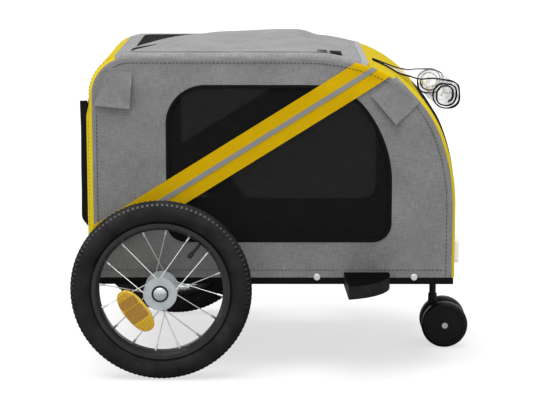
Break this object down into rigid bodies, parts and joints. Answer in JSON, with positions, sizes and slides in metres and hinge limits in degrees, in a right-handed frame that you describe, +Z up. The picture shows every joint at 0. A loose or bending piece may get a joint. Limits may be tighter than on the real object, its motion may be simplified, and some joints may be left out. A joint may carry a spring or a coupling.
{
  "type": "dog bike trailer",
  "caption": "Fabric-covered pet trailer on a tube frame with spoked quick-release wheels, a front swivel caster, mesh windows and a rolled rain cover.",
  "frame": {"origin": "on the ground under the middle of the trailer's outer box", "axes": "+X forwards, from the main axle to the caster; +Y to the trailer's left; +Z up"},
  "size_m": [0.786, 0.6806, 0.6243],
  "materials": {
    "grey_fabric": "woven, matt",
    "yellow_fabric": "woven, satin",
    "black_fabric": "woven, matt",
    "black_mesh": "open net, matt",
    "reflective_tape": "fine grained, retroreflective",
    "frame_steel": "black powder coat",
    "zinc_steel": "bright zinc plate",
    "tyre_rubber": "matt, treaded",
    "seal_rubber": "matt",
    "rim_black": "satin moulded",
    "black_plastic": "fine moulded grain",
    "clear_vinyl": "clear soft sheet",
    "amber_lens": "moulded prisms",
    "red_lens": "moulded prisms",
    "white_lens": "moulded prisms",
    "board": "pressed board, matt"
  },
  "bodies": {
    "frame": {"axle_bolts": "zinc_steel", "axle_left": "zinc_steel", "axle_right": "zinc_steel", "axle_tube": "frame_steel", "base_cross_tubes": "frame_steel", "base_rail_left": "frame_steel", "base_rail_right": "frame_steel", "caster_socket": "frame_steel", "corner_patches": "grey_fabric", "drawbar_socket": "frame_steel", "floor_board": "board", "front_border": "yellow_fabric", "front_reflectors": "white_lens", "front_screen": "black_mesh", "hoop_left": "frame_steel", "hoop_right": "frame_steel", "rail_screws": "zinc_steel", "rain_cover": "clear_vinyl", "rain_cover_binding": "black_fabric", "rear_border": "yellow_fabric", "rear_reflectors": "red_lens", "reflective_stripes": "reflective_tape", "release_seal_left": "seal_rubber", "release_seal_right": "seal_rubber", "roof_mesh": "black_mesh", "roof_panel": "grey_fabric", "side_panel_left": "grey_fabric", "side_panel_right": "grey_fabric", "side_strap_left": "yellow_fabric", "side_strap_right": "yellow_fabric", "top_cross_tubes": "frame_steel", "wheel_deflector_left": "black_plastic", "wheel_deflector_right": "black_plastic", "window_mesh_left": "black_mesh", "window_mesh_right": "black_mesh"},
    "wheel_right": {"tyre_right": "tyre_rubber", "rim_right": "rim_black", "spokes_right": "zinc_steel", "hub_right": "zinc_steel", "bearings_right": "zinc_steel", "spoke_reflector_right": "amber_lens", "valve_right": "black_plastic"},
    "release_button_right": {"release_button_right": "zinc_steel"},
    "wheel_left": {"tyre_left": "tyre_rubber", "rim_left": "rim_black", "spokes_left": "zinc_steel", "hub_left": "zinc_steel", "bearings_left": "zinc_steel", "spoke_reflector_left": "amber_lens", "valve_left": "black_plastic"},
    "release_button_left": {"release_button_left": "zinc_steel"},
    "caster": {"caster_fork": "black_plastic", "caster_stem": "zinc_steel", "caster_axle": "zinc_steel"},
    "caster_wheel_right": {"caster_wheel_right": "black_plastic"},
    "caster_wheel_left": {"caster_wheel_left": "black_plastic"},
    "rear_door": {"rear_door": "black_fabric", "rear_pocket": "black_fabric"},
    "roof_flap": {"roof_flap": "grey_fabric"}
  },
  "joints": [
    {"name": "wheel_right_spin", "type": "hinge", "parent": "frame", "child": "wheel_right", "pos_m": [-0.219, -0.265, 0.174], "axis": [0, 1, 0], "continuous": true},
    {"name": "release_button_right_press", "type": "slide", "parent": "frame", "child": "release_button_right", "axis": [0, 1, 0], "range_m": [0, 0.003], "stiffness_N_per_m": 900, "springref_m": -0.002},
    {"name": "wheel_left_spin", "type": "hinge", "parent": "frame", "child": "wheel_left", "pos_m": [-0.219, 0.265, 0.174], "axis": [0, 1, 0], "continuous": true},
    {"name": "release_button_left_press", "type": "slide", "parent": "frame", "child": "release_button_left", "axis": [0, -1, 0], "range_m": [0, 0.003], "stiffness_N_per_m": 900, "springref_m": -0.002},
    {"name": "caster_swivel", "type": "hinge", "parent": "frame", "child": "caster", "pos_m": [0.323, 0, 0.15], "axis": [0, 0, 1], "continuous": true},
    {"name": "caster_wheel_right_spin", "type": "hinge", "parent": "caster", "child": "caster_wheel_right", "pos_m": [0.346, -0.025, 0.047], "axis": [0, 1, 0], "continuous": true},
    {"name": "caster_wheel_left_spin", "type": "hinge", "parent": "caster", "child": "caster_wheel_left", "pos_m": [0.346, 0.025, 0.047], "axis": [0, 1, 0], "continuous": true},
    {"name": "rear_door_lift", "type": "hinge", "parent": "frame", "child": "rear_door", "pos_m": [-0.357, 0, 0.5374], "axis": [0, 1, 0], "range_deg": [0, 120]},
    {"name": "roof_flap_lift", "type": "hinge", "parent": "frame", "child": "roof_flap", "pos_m": [0.101, 0, 0.6213], "axis": [0, 1, 0], "range_deg": [0, 120]}
  ]
}
